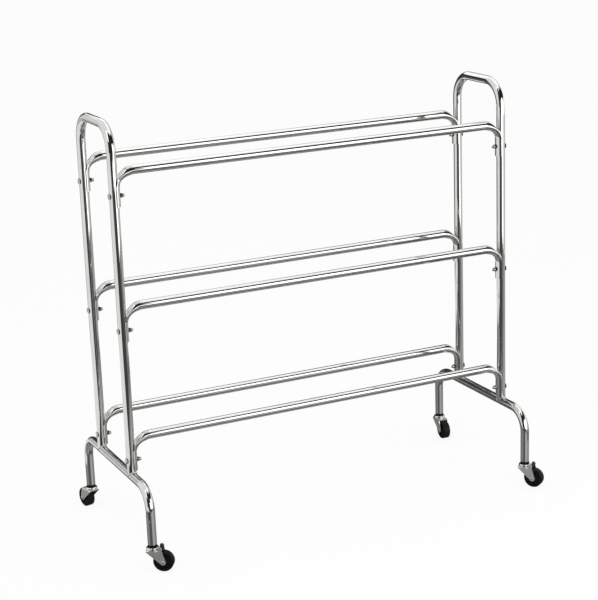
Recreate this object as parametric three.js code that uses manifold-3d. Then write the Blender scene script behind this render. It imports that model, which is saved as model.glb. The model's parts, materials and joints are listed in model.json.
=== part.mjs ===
// Rolling ball cart of chromed steel tube: two hoop-shaped ends stand on two legs' tubes,
// six rails in three tiers bolt between the hoops, and four swivel casters carry it.
// Millimetres, +Z up, +X along the rails, +Y from the front to the rear, floor at zero.

import * as THREE from 'three';
import { mergeVertices } from 'three/addons/utils/BufferGeometryUtils.js';
import Module from 'manifold-3d';

const wasm = await Module();
wasm.setup();

// Tube stock and the layout of the frame
const tubeR = 11.1;
const tubeWall = 1.2;
const tubeSides = 12;
const bendSteps = 5;
const arcSteps = 4;
const mergeShare = 1e-5;
const clearance = 0.3;
const overrun = 5;
const uprightSpanX = 1050;
const uprightSpanY = 212;
const legSpanY = 440;
const hoopBendR = 62;
const legBendR = 55;
const railBendR = 38;

// Heights above the floor of tube centre lines and of the legs' ends; the hoops rise over the top rails
const lowRailZ = 298;
const railPitch = 324.5;
const hoopRise = 105.5;
const baseTubeZ = 201.5;
const legEndZ = 67;

// Flattened ends of the rails, which nest on the uprights and take the bolts
const nestWrap = THREE.MathUtils.degToRad(68);
const railSlit = 1;
const boltDrop = 57;
const boltEdge = 25;
const crushStart = THREE.MathUtils.degToRad(15);
const crushEnd = THREE.MathUtils.degToRad(85);

// Carriage bolts and cap nuts
const boltR = 3;
const boltHeadR = 7.5;
const boltHeadH = 2.6;
const boltNeck = 6;
const boltNeckL = 3;
const boltTipGap = 1;
const nutFlats = 10;
const nutHexH = 5;
const nutDomeH = 6.5;
const nutDomeR = 4.6;
const nutSides = 6;
const smallSides = 8;
const holeSides = 6;

// Weld beads and vent holes at the feet of the uprights
const beadWidth = 2;
const ventR = 1.5;
const ventRise = 9.5;

// Stem, socket and ball race of a caster
const stemR = 4;
const stemGripR = 5;
const stemGripH = 5;
const stemHeadR = 6.5;
const stemHeadH = 1.8;
const socketFlangeH = 6.2;
const socketDepth = 32;
const gripRecess = 12;
const raceR = 15.8;
const raceCupH = 2.7;
const raceRimH = 3.6;
const raceLip = 1.8;
const roundSides = 16;

// Fork of a caster
const forkPlate = 2;
const forkGapHalf = 12.2;
const forkFrontReach = 14.5;
const forkRearReach = 25;
const forkTipR = 7;
const forkTipFrom = THREE.MathUtils.degToRad(-135);
const forkTipTo = THREE.MathUtils.degToRad(14);
const trail = 26;

// Wheel and axle
const wheelR = 25;
const treadWidth = 17;
const wheelShoulder = 2.6;
const wheelRimR = 18.5;
const wheelDishX = 6.2;
const hubR = 6.5;
const hubHalfWidth = 11.6;
const wheelSides = 20;
const axleR = 2.6;
const axleHeadR = 4.4;
const axleHeadH = 1.8;
const rivetTipShare = 0.55;

// Foot brake on the two front casters: a hooded lever, its pivot above the fork's rear corner
const pivotX = 20;
const pivotRise = 1.2;
const pivotR = 1.8;
const earR = 5.5;
const brakeBarrelR = 3;
const brakeHalfWidth = 10.5;
const hoodR = 5.6;
const hoodThick = 2.2;
const hoodAhead = 1.5;
const hoodRise = 1.5;
const hoodStart = THREE.MathUtils.degToRad(125);

// Directions in which the casters trail, from +X towards +Y
const casterPlaces = [
  { name: 'front_left', sideX: -1, sideY: -1, heading: -34, brake: true },
  { name: 'front_right', sideX: 1, sideY: -1, heading: -55, brake: true },
  { name: 'rear_left', sideX: -1, sideY: 1, heading: 102, brake: false },
  { name: 'rear_right', sideX: 1, sideY: 1, heading: -94, brake: false },
];

const tiers = ['bottom', 'middle', 'top'];
const boreR = tubeR - tubeWall;
const uprightX = uprightSpanX / 2;
const uprightY = uprightSpanY / 2;
const legY = legSpanY / 2;

const finishes = {
  chrome: { color: 0xc9cacb, metalness: 1, roughness: 0.12 },
  zinc: { color: 0x9c9d98, metalness: 1, roughness: 0.32 },
  rubber: { color: 0x111110, metalness: 0, roughness: 0.55 },
  plastic: { color: 0x161616, metalness: 0, roughness: 0.45 },
};

const cart = new THREE.Group();

// Joins and cuts of closed meshes

function toSolid(geometry) {
  const bare = geometry.clone();
  bare.deleteAttribute('normal');
  bare.deleteAttribute('uv');
  const merged = mergeVertices(bare, tubeR * mergeShare);
  const index = merged.index.array;
  const position = merged.attributes.position.array;
  const mesh = new wasm.Mesh({
    numProp: 3,
    vertProperties: Float32Array.from(position),
    triVerts: Uint32Array.from(index),
  });
  return new wasm.Manifold(mesh);
}

function toGeometry(solid) {
  const mesh = solid.getMesh();
  const geometry = new THREE.BufferGeometry();
  geometry.setAttribute('position', new THREE.BufferAttribute(mesh.vertProperties, 3));
  geometry.setIndex(new THREE.BufferAttribute(mesh.triVerts, 1));
  geometry.computeVertexNormals();
  return geometry;
}

function cutAll(solid, tools) {
  return tools.reduce((rest, tool) => rest.subtract(toSolid(tool)), solid);
}

function addPart(parent, name, geometry, finish) {
  const mesh = new THREE.Mesh(geometry, new THREE.MeshStandardMaterial(finishes[finish]));
  mesh.name = name;
  parent.add(mesh);
  return mesh;
}

// Round bodies: a profile of [radius, height] pairs from the axis to the axis, or a closed loop

function turned(profile, sides) {
  const points = profile.map(([radius, height]) => new THREE.Vector2(radius, height));
  const lathe = new THREE.LatheGeometry(points, sides);
  lathe.rotateX(Math.PI / 2);
  return lathe;
}

function washer(innerR, outerR, low, high, sides) {
  return turned([[innerR, low], [outerR, low], [outerR, high], [innerR, high], [innerR, low]], sides);
}

// A solid rod between two points, its flats at the given radius
function rod(from, to, radius, sides) {
  const length = from.distanceTo(to);
  const rodGeometry = new THREE.CylinderGeometry(radius, radius, length, sides);
  const along = new THREE.Vector3().subVectors(to, from).normalize();
  const turn = new THREE.Quaternion().setFromUnitVectors(new THREE.Vector3(0, 1, 0), along);
  rodGeometry.applyQuaternion(turn);
  const middle = new THREE.Vector3().addVectors(from, to).multiplyScalar(0.5);
  rodGeometry.translate(middle.x, middle.y, middle.z);
  return rodGeometry;
}

// The radius at which a polygon's flats clear a round of the given radius
function clearPolygon(radius, sides) {
  return (radius + clearance) / Math.cos(Math.PI / sides);
}

// Hollow tubes: one ring of stations along a path, each with an outer and an inner outline

function roundOutline(radius) {
  const step = 2 * Math.PI / tubeSides;
  return Array.from({ length: tubeSides }, (_, k) => [
    radius * Math.cos(k * step), radius * Math.sin(k * step),
  ]);
}

// A tube end crushed round the upright: half its points lie on the near face, half on the far one
function nestOutline(nearR, farR, axisAway) {
  const quarter = tubeSides / 4;
  const middleR = (nearR + farR) / 2;
  const tip = nestWrap + (farR - nearR) / 2 / middleR;
  return Array.from({ length: tubeSides }, (_, k) => {
    const fromTop = k > tubeSides / 2 ? tubeSides - k : k;
    const side = k > tubeSides / 2 ? -1 : 1;
    const share = fromTop < quarter ? fromTop : 2 * quarter - fromTop;
    const atTip = fromTop === quarter;
    const angle = atTip ? tip : nestStep * share;
    const radius = atTip ? middleR : (fromTop < quarter ? nearR : farR);
    return [axisAway - radius * Math.cos(angle), side * radius * Math.sin(angle)];
  });
}

function blendOutlines(round, nest, share) {
  return round.map(([n, b], k) => [
    THREE.MathUtils.lerp(n, nest[k][0], share), THREE.MathUtils.lerp(b, nest[k][1], share),
  ]);
}

// Stations are { place, normal, side, outer, inner } from one open end of the tube to the other
function hollowTube(stations) {
  const ringSize = stations[0].outer.length;
  const positions = [];
  stations.forEach(({ place, normal, side, outer, inner }) => {
    [...outer, ...inner].forEach(([n, b]) => {
      const point = place.clone().addScaledVector(normal, n).addScaledVector(side, b);
      positions.push(point.x, point.y, point.z);
    });
  });
  const index = [];
  const quad = (a, b, c, d) => index.push(a, b, c, a, c, d);
  const vertex = (station, shell, k) => (station * 2 + shell) * ringSize + k % ringSize;
  const last = stations.length - 1;
  for (let k = 0; k < ringSize; k += 1) {
    for (let s = 0; s < last; s += 1) {
      quad(vertex(s, 0, k), vertex(s + 1, 0, k), vertex(s + 1, 0, k + 1), vertex(s, 0, k + 1));
      quad(vertex(s, 1, k), vertex(s, 1, k + 1), vertex(s + 1, 1, k + 1), vertex(s + 1, 1, k));
    }
    quad(vertex(0, 0, k), vertex(0, 0, k + 1), vertex(0, 1, k + 1), vertex(0, 1, k));
    quad(vertex(last, 0, k), vertex(last, 1, k), vertex(last, 1, k + 1), vertex(last, 0, k + 1));
  }
  const geometry = new THREE.BufferGeometry();
  geometry.setAttribute('position', new THREE.Float32BufferAttribute(positions, 3));
  geometry.setIndex(index);
  geometry.computeVertexNormals();
  return geometry;
}

const alongX = new THREE.Vector3(1, 0, 0);
const alongY = new THREE.Vector3(0, 1, 0);
const up = new THREE.Vector3(0, 0, 1);

// Stations of one half of a bent tube, from the middle out: a level run, a quarter bend, a drop.
// The level run goes along `out`, and the outside of the bend faces up.
function bentHalf(out, side, reach, topZ, bendR, endZ, outlines) {
  const stations = [];
  for (let step = 0; step <= bendSteps; step += 1) {
    const angle = Math.PI / 2 * step / bendSteps;
    const place = out.clone().multiplyScalar(reach - bendR * (1 - Math.sin(angle)));
    place.z = topZ - bendR * (1 - Math.cos(angle));
    const normal = up.clone().multiplyScalar(Math.cos(angle)).addScaledVector(out, Math.sin(angle));
    stations.push({ place, normal, side, ...outlines(angle) });
  }
  const end = out.clone().multiplyScalar(reach);
  end.z = endZ;
  stations.push({ place: end, normal: out, side, ...outlines(Math.PI / 2) });
  return stations;
}

// Both halves joined, from the far end along minus `out` to the far end along plus `out`
function bentTube(out, reach, topZ, bendR, endZ, outlines) {
  const side = new THREE.Vector3().crossVectors(up, out);
  const left = bentHalf(out.clone().negate(), side, reach, topZ, bendR, endZ, outlines);
  const right = bentHalf(out, side, reach, topZ, bendR, endZ, outlines);
  return hollowTube([...left.reverse(), ...right]);
}

// The crescent's faces have whole steps from their middle, and half a step more to the tip
const nestStep = nestWrap / (tubeSides / 4 - 1 / 2);
const roundTube = { outer: roundOutline(tubeR), inner: roundOutline(boreR) };

// Hoops

function tierZ(tier) {
  return lowRailZ + tier * railPitch;
}

const hoopTopZ = tierZ(tiers.length - 1) + hoopRise;

// Square hole for the bolt's neck in the outer wall, round hole in the inner wall
function boltCuts(y, z) {
  const neckHole = new THREE.BoxGeometry(2 * tubeR, boltNeck + 2 * clearance, boltNeck + 2 * clearance);
  neckHole.translate(-tubeR, y, z);
  const through = rod(
    new THREE.Vector3(-tubeR - overrun, y, z), new THREE.Vector3(tubeR + overrun, y, z),
    clearPolygon(boltR, holeSides), holeSides,
  );
  return [neckHole, through];
}

function hoopGeometry() {
  const blank = toSolid(bentTube(
    alongY, uprightY, hoopTopZ, hoopBendR, baseTubeZ, () => roundTube,
  ));
  const saddleR = clearPolygon(tubeR, roundSides);
  const saddle = rod(
    new THREE.Vector3(0, -legY, baseTubeZ), new THREE.Vector3(0, legY, baseTubeZ), saddleR, roundSides,
  );
  const cuts = [saddle];
  [-uprightY, uprightY].forEach((y) => {
    tiers.forEach((_, tier) => cuts.push(...boltCuts(y, tierZ(tier) - boltDrop)));
    cuts.push(rod(
      new THREE.Vector3(-tubeR - overrun, y, baseTubeZ + ventRise),
      new THREE.Vector3(0, y, baseTubeZ + ventRise), ventR, holeSides,
    ));
  });
  return toGeometry(cutAll(blank, cuts));
}

// Base tubes: bent down into a leg at each end, with a weld bead round the foot of each upright

function beadSolid(y) {
  const outside = rod(
    new THREE.Vector3(0, y, baseTubeZ), new THREE.Vector3(0, y, baseTubeZ + tubeR + beadWidth),
    tubeR + beadWidth, roundSides,
  );
  const round = rod(
    new THREE.Vector3(0, y - 2 * tubeR, baseTubeZ), new THREE.Vector3(0, y + 2 * tubeR, baseTubeZ),
    tubeR + beadWidth, roundSides,
  );
  return toSolid(outside).intersect(toSolid(round));
}

function baseTubeGeometry() {
  let solid = toSolid(bentTube(
    alongY, legY, baseTubeZ, legBendR, legEndZ, () => roundTube,
  ));
  const bore = rod(
    new THREE.Vector3(0, -uprightSpanY, baseTubeZ), new THREE.Vector3(0, uprightSpanY, baseTubeZ),
    boreR, tubeSides,
  );
  [-uprightY, uprightY].forEach((y) => {
    const foot = rod(
      new THREE.Vector3(0, y, baseTubeZ), new THREE.Vector3(0, y, baseTubeZ + 3 * tubeR),
      clearPolygon(tubeR, roundSides), roundSides,
    );
    const ring = cutAll(beadSolid(y), [foot, bore]);
    solid = solid.add(ring);
  });
  return toGeometry(solid);
}

// Rails: their ends bend down and are crushed to a crescent that nests on the upright

const nestNearR = (tubeR + clearance) / Math.cos(nestStep / 2);
const nestFarR = nestNearR + 2 * tubeWall + railSlit;
const nestAxisAway = (nestNearR + nestFarR) / 2;
const nestOuter = nestOutline(nestNearR, nestFarR, nestAxisAway);
const nestInner = nestOutline(nestNearR + tubeWall, nestFarR - tubeWall, nestAxisAway);
const railReach = uprightX - nestAxisAway;

function railGeometry() {
  const outlines = (angle) => {
    const share = THREE.MathUtils.smoothstep(angle, crushStart, crushEnd);
    return {
      outer: blendOutlines(roundTube.outer, nestOuter, share),
      inner: blendOutlines(roundTube.inner, nestInner, share),
    };
  };
  const blank = toSolid(bentTube(
    alongX, railReach, 0, railBendR, -boltDrop - boltEdge, outlines,
  ));
  const cuts = [-1, 1].map((end) => rod(
    new THREE.Vector3(end * (railReach - railBendR), 0, -boltDrop),
    new THREE.Vector3(end * uprightX, 0, -boltDrop),
    clearPolygon(boltR, holeSides), holeSides,
  ));
  return toGeometry(cutAll(blank, cuts));
}

// Bolts and nuts lie along X; zero is the upright's axis and the rail is on the +X side

const railFace = nestFarR;
const nutSeat = railFace + clearance;
const boltTip = nutSeat + nutHexH + nutDomeH - boltNeckL - boltTipGap;

function boltGeometry() {
  const seat = tubeR + clearance;
  const domeShares = [[0, 1], [0.6, 0.86], [0.9, 0.5], [1, 0.12]];
  const profile = [
    [0, -boltTip], [boltR, -boltTip], [boltR, seat],
    ...domeShares.map(([across, rise]) => [boltHeadR * across, seat + boltHeadH * rise]).reverse(),
  ];
  const head = turned(profile, smallSides);
  const neck = new THREE.BoxGeometry(boltNeck, boltNeck, boltNeckL);
  neck.translate(0, 0, seat - boltNeckL / 2 + clearance / 2);
  const bolt = toGeometry(toSolid(head).add(toSolid(neck)));
  bolt.rotateY(-Math.PI / 2);
  return bolt;
}

function nutGeometry() {
  const hexR = nutFlats / Math.sqrt(3);
  const hex = new THREE.CylinderGeometry(hexR, hexR, nutHexH, nutSides);
  hex.rotateX(Math.PI / 2);
  hex.translate(0, 0, nutHexH / 2);
  const domeShares = [[1, 0], [1, 0.35], [0.8, 0.75], [0.4, 0.96]];
  const start = nutHexH / 2;
  const domeHeight = nutHexH + nutDomeH - start;
  const dome = turned([
    [0, start],
    ...domeShares.map(([across, rise]) => [nutDomeR * across, start + domeHeight * rise]),
    [0, nutHexH + nutDomeH],
  ], smallSides);
  const bore = rod(
    new THREE.Vector3(0, 0, -overrun),
    new THREE.Vector3(0, 0, boltTip - nutSeat + clearance),
    clearPolygon(boltR, smallSides), smallSides,
  );
  const nut = toGeometry(cutAll(toSolid(hex).add(toSolid(dome)), [bore]));
  nut.rotateY(Math.PI / 2);
  return nut;
}

// Casters: built about their swivel axis, trailing towards +X, floor at zero

const socketTop = legEndZ - clearance;
const socketLow = socketTop - socketFlangeH;
const cupTop = socketLow - clearance;
const cupLow = cupTop - raceCupH;
const rimTop = cupLow - clearance;
const crownTop = rimTop - raceRimH;
const crownLow = crownTop - forkPlate;
const socketBodyR = boreR * Math.cos(Math.PI / tubeSides) - clearance;
const stemHoleR = clearPolygon(stemR, roundSides);
const gripHoleR = clearPolygon(stemGripR, roundSides);
const stemTop = socketTop + socketDepth - gripRecess / 4;

function socketGeometry() {
  const top = socketTop + socketDepth;
  return turned([
    [stemHoleR, socketLow], [tubeR, socketLow], [tubeR, socketTop], [socketBodyR, socketTop],
    [socketBodyR, top], [gripHoleR, top],
    [gripHoleR, top - gripRecess], [stemHoleR, top - gripRecess], [stemHoleR, socketLow],
  ], roundSides);
}

function stemGeometry() {
  const headTop = crownLow - clearance;
  const headLow = headTop - stemHeadH;
  const gripLow = stemTop - stemGripH;
  return turned([
    [0, headLow], [stemHeadR * rivetTipShare, headLow], [stemHeadR, headTop - stemHeadH / 3],
    [stemHeadR, headTop], [stemR, headTop], [stemR, gripLow], [stemGripR, gripLow + stemGripH / 3],
    [stemGripR, stemTop - stemGripH / 3], [stemR, stemTop], [0, stemTop],
  ], smallSides);
}

function cupGeometry() {
  const step = raceCupH / 3;
  return turned([
    [stemHoleR, cupLow + step], [raceR - raceLip - step, cupLow + step],
    [raceR - raceLip, cupLow], [raceR, cupLow], [raceR, cupTop - step],
    [raceR - step, cupTop], [stemHoleR, cupTop], [stemHoleR, cupLow + step],
  ], roundSides);
}

// Outline of a fork's side plate, in trail direction and height, tapering to the axle
function forkPlateShape(withEar) {
  const shape = new THREE.Shape();
  shape.moveTo(-forkFrontReach, crownTop);
  shape.lineTo(-forkFrontReach, crownLow - forkPlate / 2);
  shape.absarc(trail, wheelR, forkTipR, forkTipFrom, forkTipTo, false);
  shape.lineTo(forkRearReach, crownLow);
  if (withEar) {
    shape.lineTo(pivotX + earR, rimTop + pivotRise);
    shape.absarc(pivotX, rimTop + pivotRise, earR, 0, Math.PI, false);
    shape.lineTo(pivotX - earR, crownTop);
  } else {
    shape.lineTo(forkRearReach, crownTop);
  }
  shape.closePath();
  const hole = new THREE.Path();
  hole.absarc(trail, wheelR, axleR + clearance, 0, 2 * Math.PI, true);
  shape.holes.push(hole);
  if (withEar) {
    const pivotHole = new THREE.Path();
    pivotHole.absarc(pivotX, rimTop + pivotRise, pivotR + clearance, 0, 2 * Math.PI, true);
    shape.holes.push(pivotHole);
  }
  return shape;
}

// Extrudes an outline drawn in trail direction and height over a stretch of the caster's width
function plate(shape, from, to) {
  const solid = new THREE.ExtrudeGeometry(
    shape, { depth: to - from, bevelEnabled: false, curveSegments: arcSteps },
  );
  solid.rotateX(Math.PI / 2);
  solid.translate(0, to, 0);
  return solid;
}

// A fork: two side plates and a bridge with the race; the bridge stops short of a brake lever
function forkGeometry(withEar) {
  const sideShape = forkPlateShape(withEar);
  const outerY = forkGapHalf + forkPlate;
  const left = toSolid(plate(sideShape, forkGapHalf, outerY));
  const right = toSolid(plate(sideShape, -outerY, -forkGapHalf));
  const bridgeRear = withEar ? pivotX - earR : forkRearReach;
  const bridge = new THREE.BoxGeometry(forkFrontReach + bridgeRear, 2 * outerY, forkPlate);
  bridge.translate((bridgeRear - forkFrontReach) / 2, 0, crownTop - forkPlate / 2);
  const disc = washer(stemHoleR, raceR, crownLow, crownTop, roundSides);
  const rim = turned([
    [raceR - raceLip, crownLow + forkPlate / 2], [raceR, crownLow + forkPlate / 2],
    [raceR, rimTop], [raceR - raceLip / 2, rimTop], [raceR - raceLip, rimTop - raceLip / 2],
    [raceR - raceLip, crownLow + forkPlate / 2],
  ], roundSides);
  const pin = rod(
    new THREE.Vector3(0, 0, crownLow - overrun), new THREE.Vector3(0, 0, crownTop + overrun),
    stemHoleR, roundSides,
  );
  const joined = [right, toSolid(bridge), toSolid(disc), toSolid(rim)]
    .reduce((sum, piece) => sum.add(piece), left);
  return toGeometry(cutAll(joined, [pin]));
}

// The wheel's flats are at its rolling radius, with one flat square on the floor
function wheelGeometry() {
  const outer = wheelR / Math.cos(Math.PI / wheelSides);
  const half = treadWidth / 2;
  const boreHoleR = clearPolygon(axleR, wheelSides);
  const edge = half + wheelShoulder / 2;
  const profile = [
    [boreHoleR, -hubHalfWidth], [hubR, -hubHalfWidth], [hubR, -wheelDishX], [wheelRimR, -wheelDishX],
    [wheelRimR, -edge], [outer - wheelShoulder, -edge], [outer, -half],
    [outer, half], [outer - wheelShoulder, edge], [wheelRimR, edge],
    [wheelRimR, wheelDishX], [hubR, wheelDishX], [hubR, hubHalfWidth], [boreHoleR, hubHalfWidth],
    [boreHoleR, -hubHalfWidth],
  ];
  const wheel = turned(profile, wheelSides);
  wheel.rotateZ(Math.PI / wheelSides);
  wheel.rotateX(-Math.PI / 2);
  return wheel;
}

function axleGeometry() {
  const seat = forkGapHalf + forkPlate + clearance;
  const tip = seat + axleHeadH;
  const axle = turned([
    [0, -tip], [axleHeadR * rivetTipShare, -tip], [axleHeadR, -seat - axleHeadH / 3], [axleHeadR, -seat],
    [axleR, -seat], [axleR, seat], [axleHeadR, seat], [axleHeadR, seat + axleHeadH / 3],
    [axleHeadR * rivetTipShare, tip], [0, tip],
  ], smallSides);
  axle.rotateX(Math.PI / 2);
  return axle;
}

// A brake lever about its pivot: its hood ends in a shoe whose corner just clears the tread
// at the point of its swing that comes nearest to the wheel
function brakeGeometry() {
  const pivotZ = rimTop + pivotRise;
  const treadR = wheelR / Math.cos(Math.PI / wheelSides);
  const shoeReach = Math.hypot(trail - pivotX, wheelR - pivotZ) - treadR - clearance;
  const backX = hoodAhead + hoodR;
  const shoeZ = -Math.sqrt(shoeReach ** 2 - backX ** 2);
  const innerR = hoodR - hoodThick;
  const hood = new THREE.Shape();
  hood.absarc(hoodAhead, hoodRise, hoodR, hoodStart, 0, true);
  hood.lineTo(backX, shoeZ);
  hood.lineTo(backX - hoodThick, shoeZ);
  hood.absarc(hoodAhead, hoodRise, innerR, 0, hoodStart, false);
  hood.closePath();
  const webTop = hoodRise + innerR + hoodThick / 2;
  const web = new THREE.BoxGeometry(hoodThick, brakeHalfWidth, webTop);
  web.translate(0, 0, webTop / 2);
  const across = (radius, half) => rod(
    new THREE.Vector3(0, -half, 0), new THREE.Vector3(0, half, 0), radius, smallSides,
  );
  const pieces = [web, across(brakeBarrelR, brakeHalfWidth), across(pivotR, forkGapHalf + forkPlate)];
  const brake = toGeometry(pieces.reduce(
    (sum, piece) => sum.add(toSolid(piece)), toSolid(plate(hood, -brakeHalfWidth, brakeHalfWidth)),
  ));
  brake.translate(pivotX, 0, pivotZ);
  return brake;
}

// Assembly

const hoop = hoopGeometry();
const baseTube = baseTubeGeometry();
const rail = railGeometry();
const bolt = boltGeometry();
const nut = nutGeometry();
const wheel = wheelGeometry();
const axle = axleGeometry();

[['left', -1], ['right', 1]].forEach(([end, sideX]) => {
  const endGroup = new THREE.Group();
  endGroup.position.x = sideX * uprightX;
  endGroup.rotation.z = sideX < 0 ? 0 : Math.PI;
  cart.add(endGroup);
  addPart(endGroup, `hoop_${end}`, hoop, 'chrome');
  addPart(endGroup, `base_tube_${end}`, baseTube, 'chrome');
  [['front', -1], ['rear', 1]].forEach(([row, sideY]) => {
    tiers.forEach((tier, level) => {
      const spot = new THREE.Group();
      spot.position.set(0, -sideX * sideY * uprightY, tierZ(level) - boltDrop);
      endGroup.add(spot);
      addPart(spot, `bolt_${tier}_${row}_${end}`, bolt, 'zinc');
      addPart(spot, `cap_nut_${tier}_${row}_${end}`, nut, 'chrome').position.x = nutSeat;
    });
  });
});

[['front', -1], ['rear', 1]].forEach(([row, sideY]) => {
  tiers.forEach((tier, level) => {
    addPart(cart, `rail_${tier}_${row}`, rail, 'chrome').position.set(0, sideY * uprightY, tierZ(level));
  });
});

casterPlaces.forEach(({ name, sideX, sideY, heading, brake }) => {
  const spot = new THREE.Group();
  spot.position.set(sideX * uprightX, sideY * legY, 0);
  spot.rotation.z = THREE.MathUtils.degToRad(heading);
  cart.add(spot);
  addPart(spot, `caster_socket_${name}`, socketGeometry(), 'plastic');
  addPart(spot, `caster_stem_${name}`, stemGeometry(), 'zinc');
  addPart(spot, `caster_cup_${name}`, cupGeometry(), 'zinc');
  addPart(spot, `caster_fork_${name}`, forkGeometry(brake), 'zinc');
  addPart(spot, `caster_wheel_${name}`, wheel, 'rubber').position.set(trail, 0, wheelR);
  addPart(spot, `caster_axle_${name}`, axle, 'zinc').position.set(trail, 0, wheelR);
  if (brake) {
    addPart(spot, `brake_lever_${name}`, brakeGeometry(), 'plastic');
  }
});

// The origin goes to the middle of the box on the floor
cart.updateMatrixWorld(true);
const box = new THREE.Box3().setFromObject(cart, true);
const middle = box.getCenter(new THREE.Vector3());
cart.position.set(-middle.x, -middle.y, -box.min.z);

export default cart;
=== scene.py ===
"""A rolling ball cart of chromed steel tube, dressed round the frame of its solids.

Sizes are in millimetres and are turned to metres where a mesh or a placement is made. The ends of
the cart and its casters take their places from the boxes and the joints of that frame.
"""

import json
import math

import bpy
from mathutils import Matrix, Vector


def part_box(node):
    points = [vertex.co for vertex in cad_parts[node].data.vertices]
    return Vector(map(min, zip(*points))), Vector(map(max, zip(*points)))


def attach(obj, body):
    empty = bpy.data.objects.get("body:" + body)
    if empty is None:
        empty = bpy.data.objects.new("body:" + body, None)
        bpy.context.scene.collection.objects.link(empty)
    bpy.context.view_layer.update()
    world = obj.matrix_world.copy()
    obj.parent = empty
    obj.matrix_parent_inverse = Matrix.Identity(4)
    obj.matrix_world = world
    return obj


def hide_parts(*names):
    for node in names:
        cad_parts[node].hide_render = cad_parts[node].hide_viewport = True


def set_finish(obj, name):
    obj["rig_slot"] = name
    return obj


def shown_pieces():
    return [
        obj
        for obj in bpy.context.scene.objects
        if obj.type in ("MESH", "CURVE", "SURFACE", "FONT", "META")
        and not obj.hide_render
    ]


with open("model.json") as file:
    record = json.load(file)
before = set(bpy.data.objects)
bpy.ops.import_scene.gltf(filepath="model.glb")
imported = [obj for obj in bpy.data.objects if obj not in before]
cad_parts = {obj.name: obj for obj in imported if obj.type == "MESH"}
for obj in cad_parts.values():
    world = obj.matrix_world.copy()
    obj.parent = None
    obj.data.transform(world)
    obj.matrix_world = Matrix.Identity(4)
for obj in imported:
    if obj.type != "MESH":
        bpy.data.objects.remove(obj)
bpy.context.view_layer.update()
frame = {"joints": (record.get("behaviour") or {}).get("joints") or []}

MM = 0.001
TAU = 2 * math.pi
UP = Vector((0, 0, 1))
ALONG_X = Vector((1, 0, 0))
ALONG_Y = Vector((0, 1, 0))
WHITE = (1, 1, 1, 1)
TIERS = ("bottom", "middle", "top")
ROWS = (("front", -1), ("rear", 1))
ENDS = (("left", -1), ("right", 1))
CASTERS = ("front_left", "front_right", "rear_left", "rear_right")

# Tube stock and the layout of the frame, the same as in the solids
TUBE_R = 11.1
TUBE_WALL = 1.2
UPRIGHT_SPAN_Y = 212
LEG_SPAN_Y = 440
HOOP_BEND_R = 62
LEG_BEND_R = 55
RAIL_BEND_R = 38
LOW_RAIL_Z = 298
RAIL_PITCH = 324.5
HOOP_RISE = 105.5
BASE_TUBE_Z = 201.5
LEG_END_Z = 67
CLEARANCE = 0.3

# Crushed ends of the rails
NEST_WRAP = math.radians(68)
RAIL_SLIT = 1
BOLT_DROP = 57
BOLT_EDGE = 25
CRUSH_START = math.radians(15)
CRUSH_END = math.radians(85)
NEAR_SHARE = 0.38
TIP_SHARE = 0.14

# Bolts and cap nuts
BOLT_R = 3
BOLT_HEAD_R = 7.5
BOLT_HEAD_H = 2.6
BOLT_BRIM_SHARE = 0.2
BOLT_TIP_GAP = 4
NUT_FLATS = 10
NUT_HEX_H = 5
NUT_DOME_H = 6.5
NUT_DOME_R = 4.6
NUT_CHAMFER_SHARE = 0.93
NUT_CHAMFER_SLOPE = math.tan(math.radians(30))
HOLE_MARGIN = 6

# Weld beads and vent holes
BEAD_R = 1.7
BEAD_RIPPLE = 0.16
BEAD_RIPPLES = 44
VENT_R = 1.5
VENT_RISE = 9.5

# Stem, socket and race of a caster
STEM_R = 4
STEM_GRIP_R = 5
STEM_GRIP_H = 5
STEM_HEAD_R = 6.5
STEM_HEAD_H = 1.8
SOCKET_FLANGE_H = 6.2
SOCKET_DEPTH = 32
GRIP_RECESS = 12
RACE_R = 15.8
RACE_CUP_H = 2.7
RACE_RIM_H = 3.6
RACE_LIP = 1.8

# Fork, wheel and axle
FORK_PLATE = 2
FORK_GAP_HALF = 12.2
FORK_FRONT_REACH = 14.5
FORK_REAR_REACH = 25
FORK_TIP_R = 7
FORK_TIP_FROM = math.radians(-135)
FORK_TIP_TO = math.radians(14)
FORK_FOLD_R = 3
TRAIL = 26
WHEEL_R = 25
TREAD_WIDTH = 17
WHEEL_SHOULDER = 2.6
WHEEL_RIM_R = 18.5
WHEEL_DISH_X = 6.2
HUB_R = 6.5
HUB_HALF_WIDTH = 11.6
AXLE_R = 2.6
AXLE_HEAD_R = 4.4
AXLE_HEAD_H = 1.8
RIVET_TIP_SHARE = 0.55

# Foot brake
PIVOT_X = 20
PIVOT_RISE = 1.2
PIVOT_R = 1.8
EAR_R = 5.5
BRAKE_BARREL_R = 3
BRAKE_HALF_WIDTH = 10.5
HOOD_R = 6.1
HOOD_THICK = 2.2
HOOD_HALF_WIDTH = 6.5
HOOD_AHEAD = 1.5
HOOD_RISE = -3
HOOD_START = math.radians(140)

# How far corners are rounded off, and the most of a side that one corner takes
TIP_ROUNDING = 0.3
FORK_ROUNDING = 0.35
SOCKET_ROUNDING = 0.6
WHEEL_ROUNDING = 1.2
CORNER_SHARE = 0.45

# How finely the curves are divided
TUBE_SIDES = 64
LATHE_SIDES = 72
SMALL_SIDES = 40
NUT_SIDES = 144
BEAD_RINGS = 256
BEAD_SIDES = 20
BEND_STEPS = 24
ARC_STEPS = 14
CORNER_STEPS = 4
BEVEL_SEGMENTS = 3
CARD_STEPS = 24

# The angle from which an edge stays sharp, and how far a cutter passes its piece
SHARP_ANGLE = math.radians(34)
OVERSHOOT = 26

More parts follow.
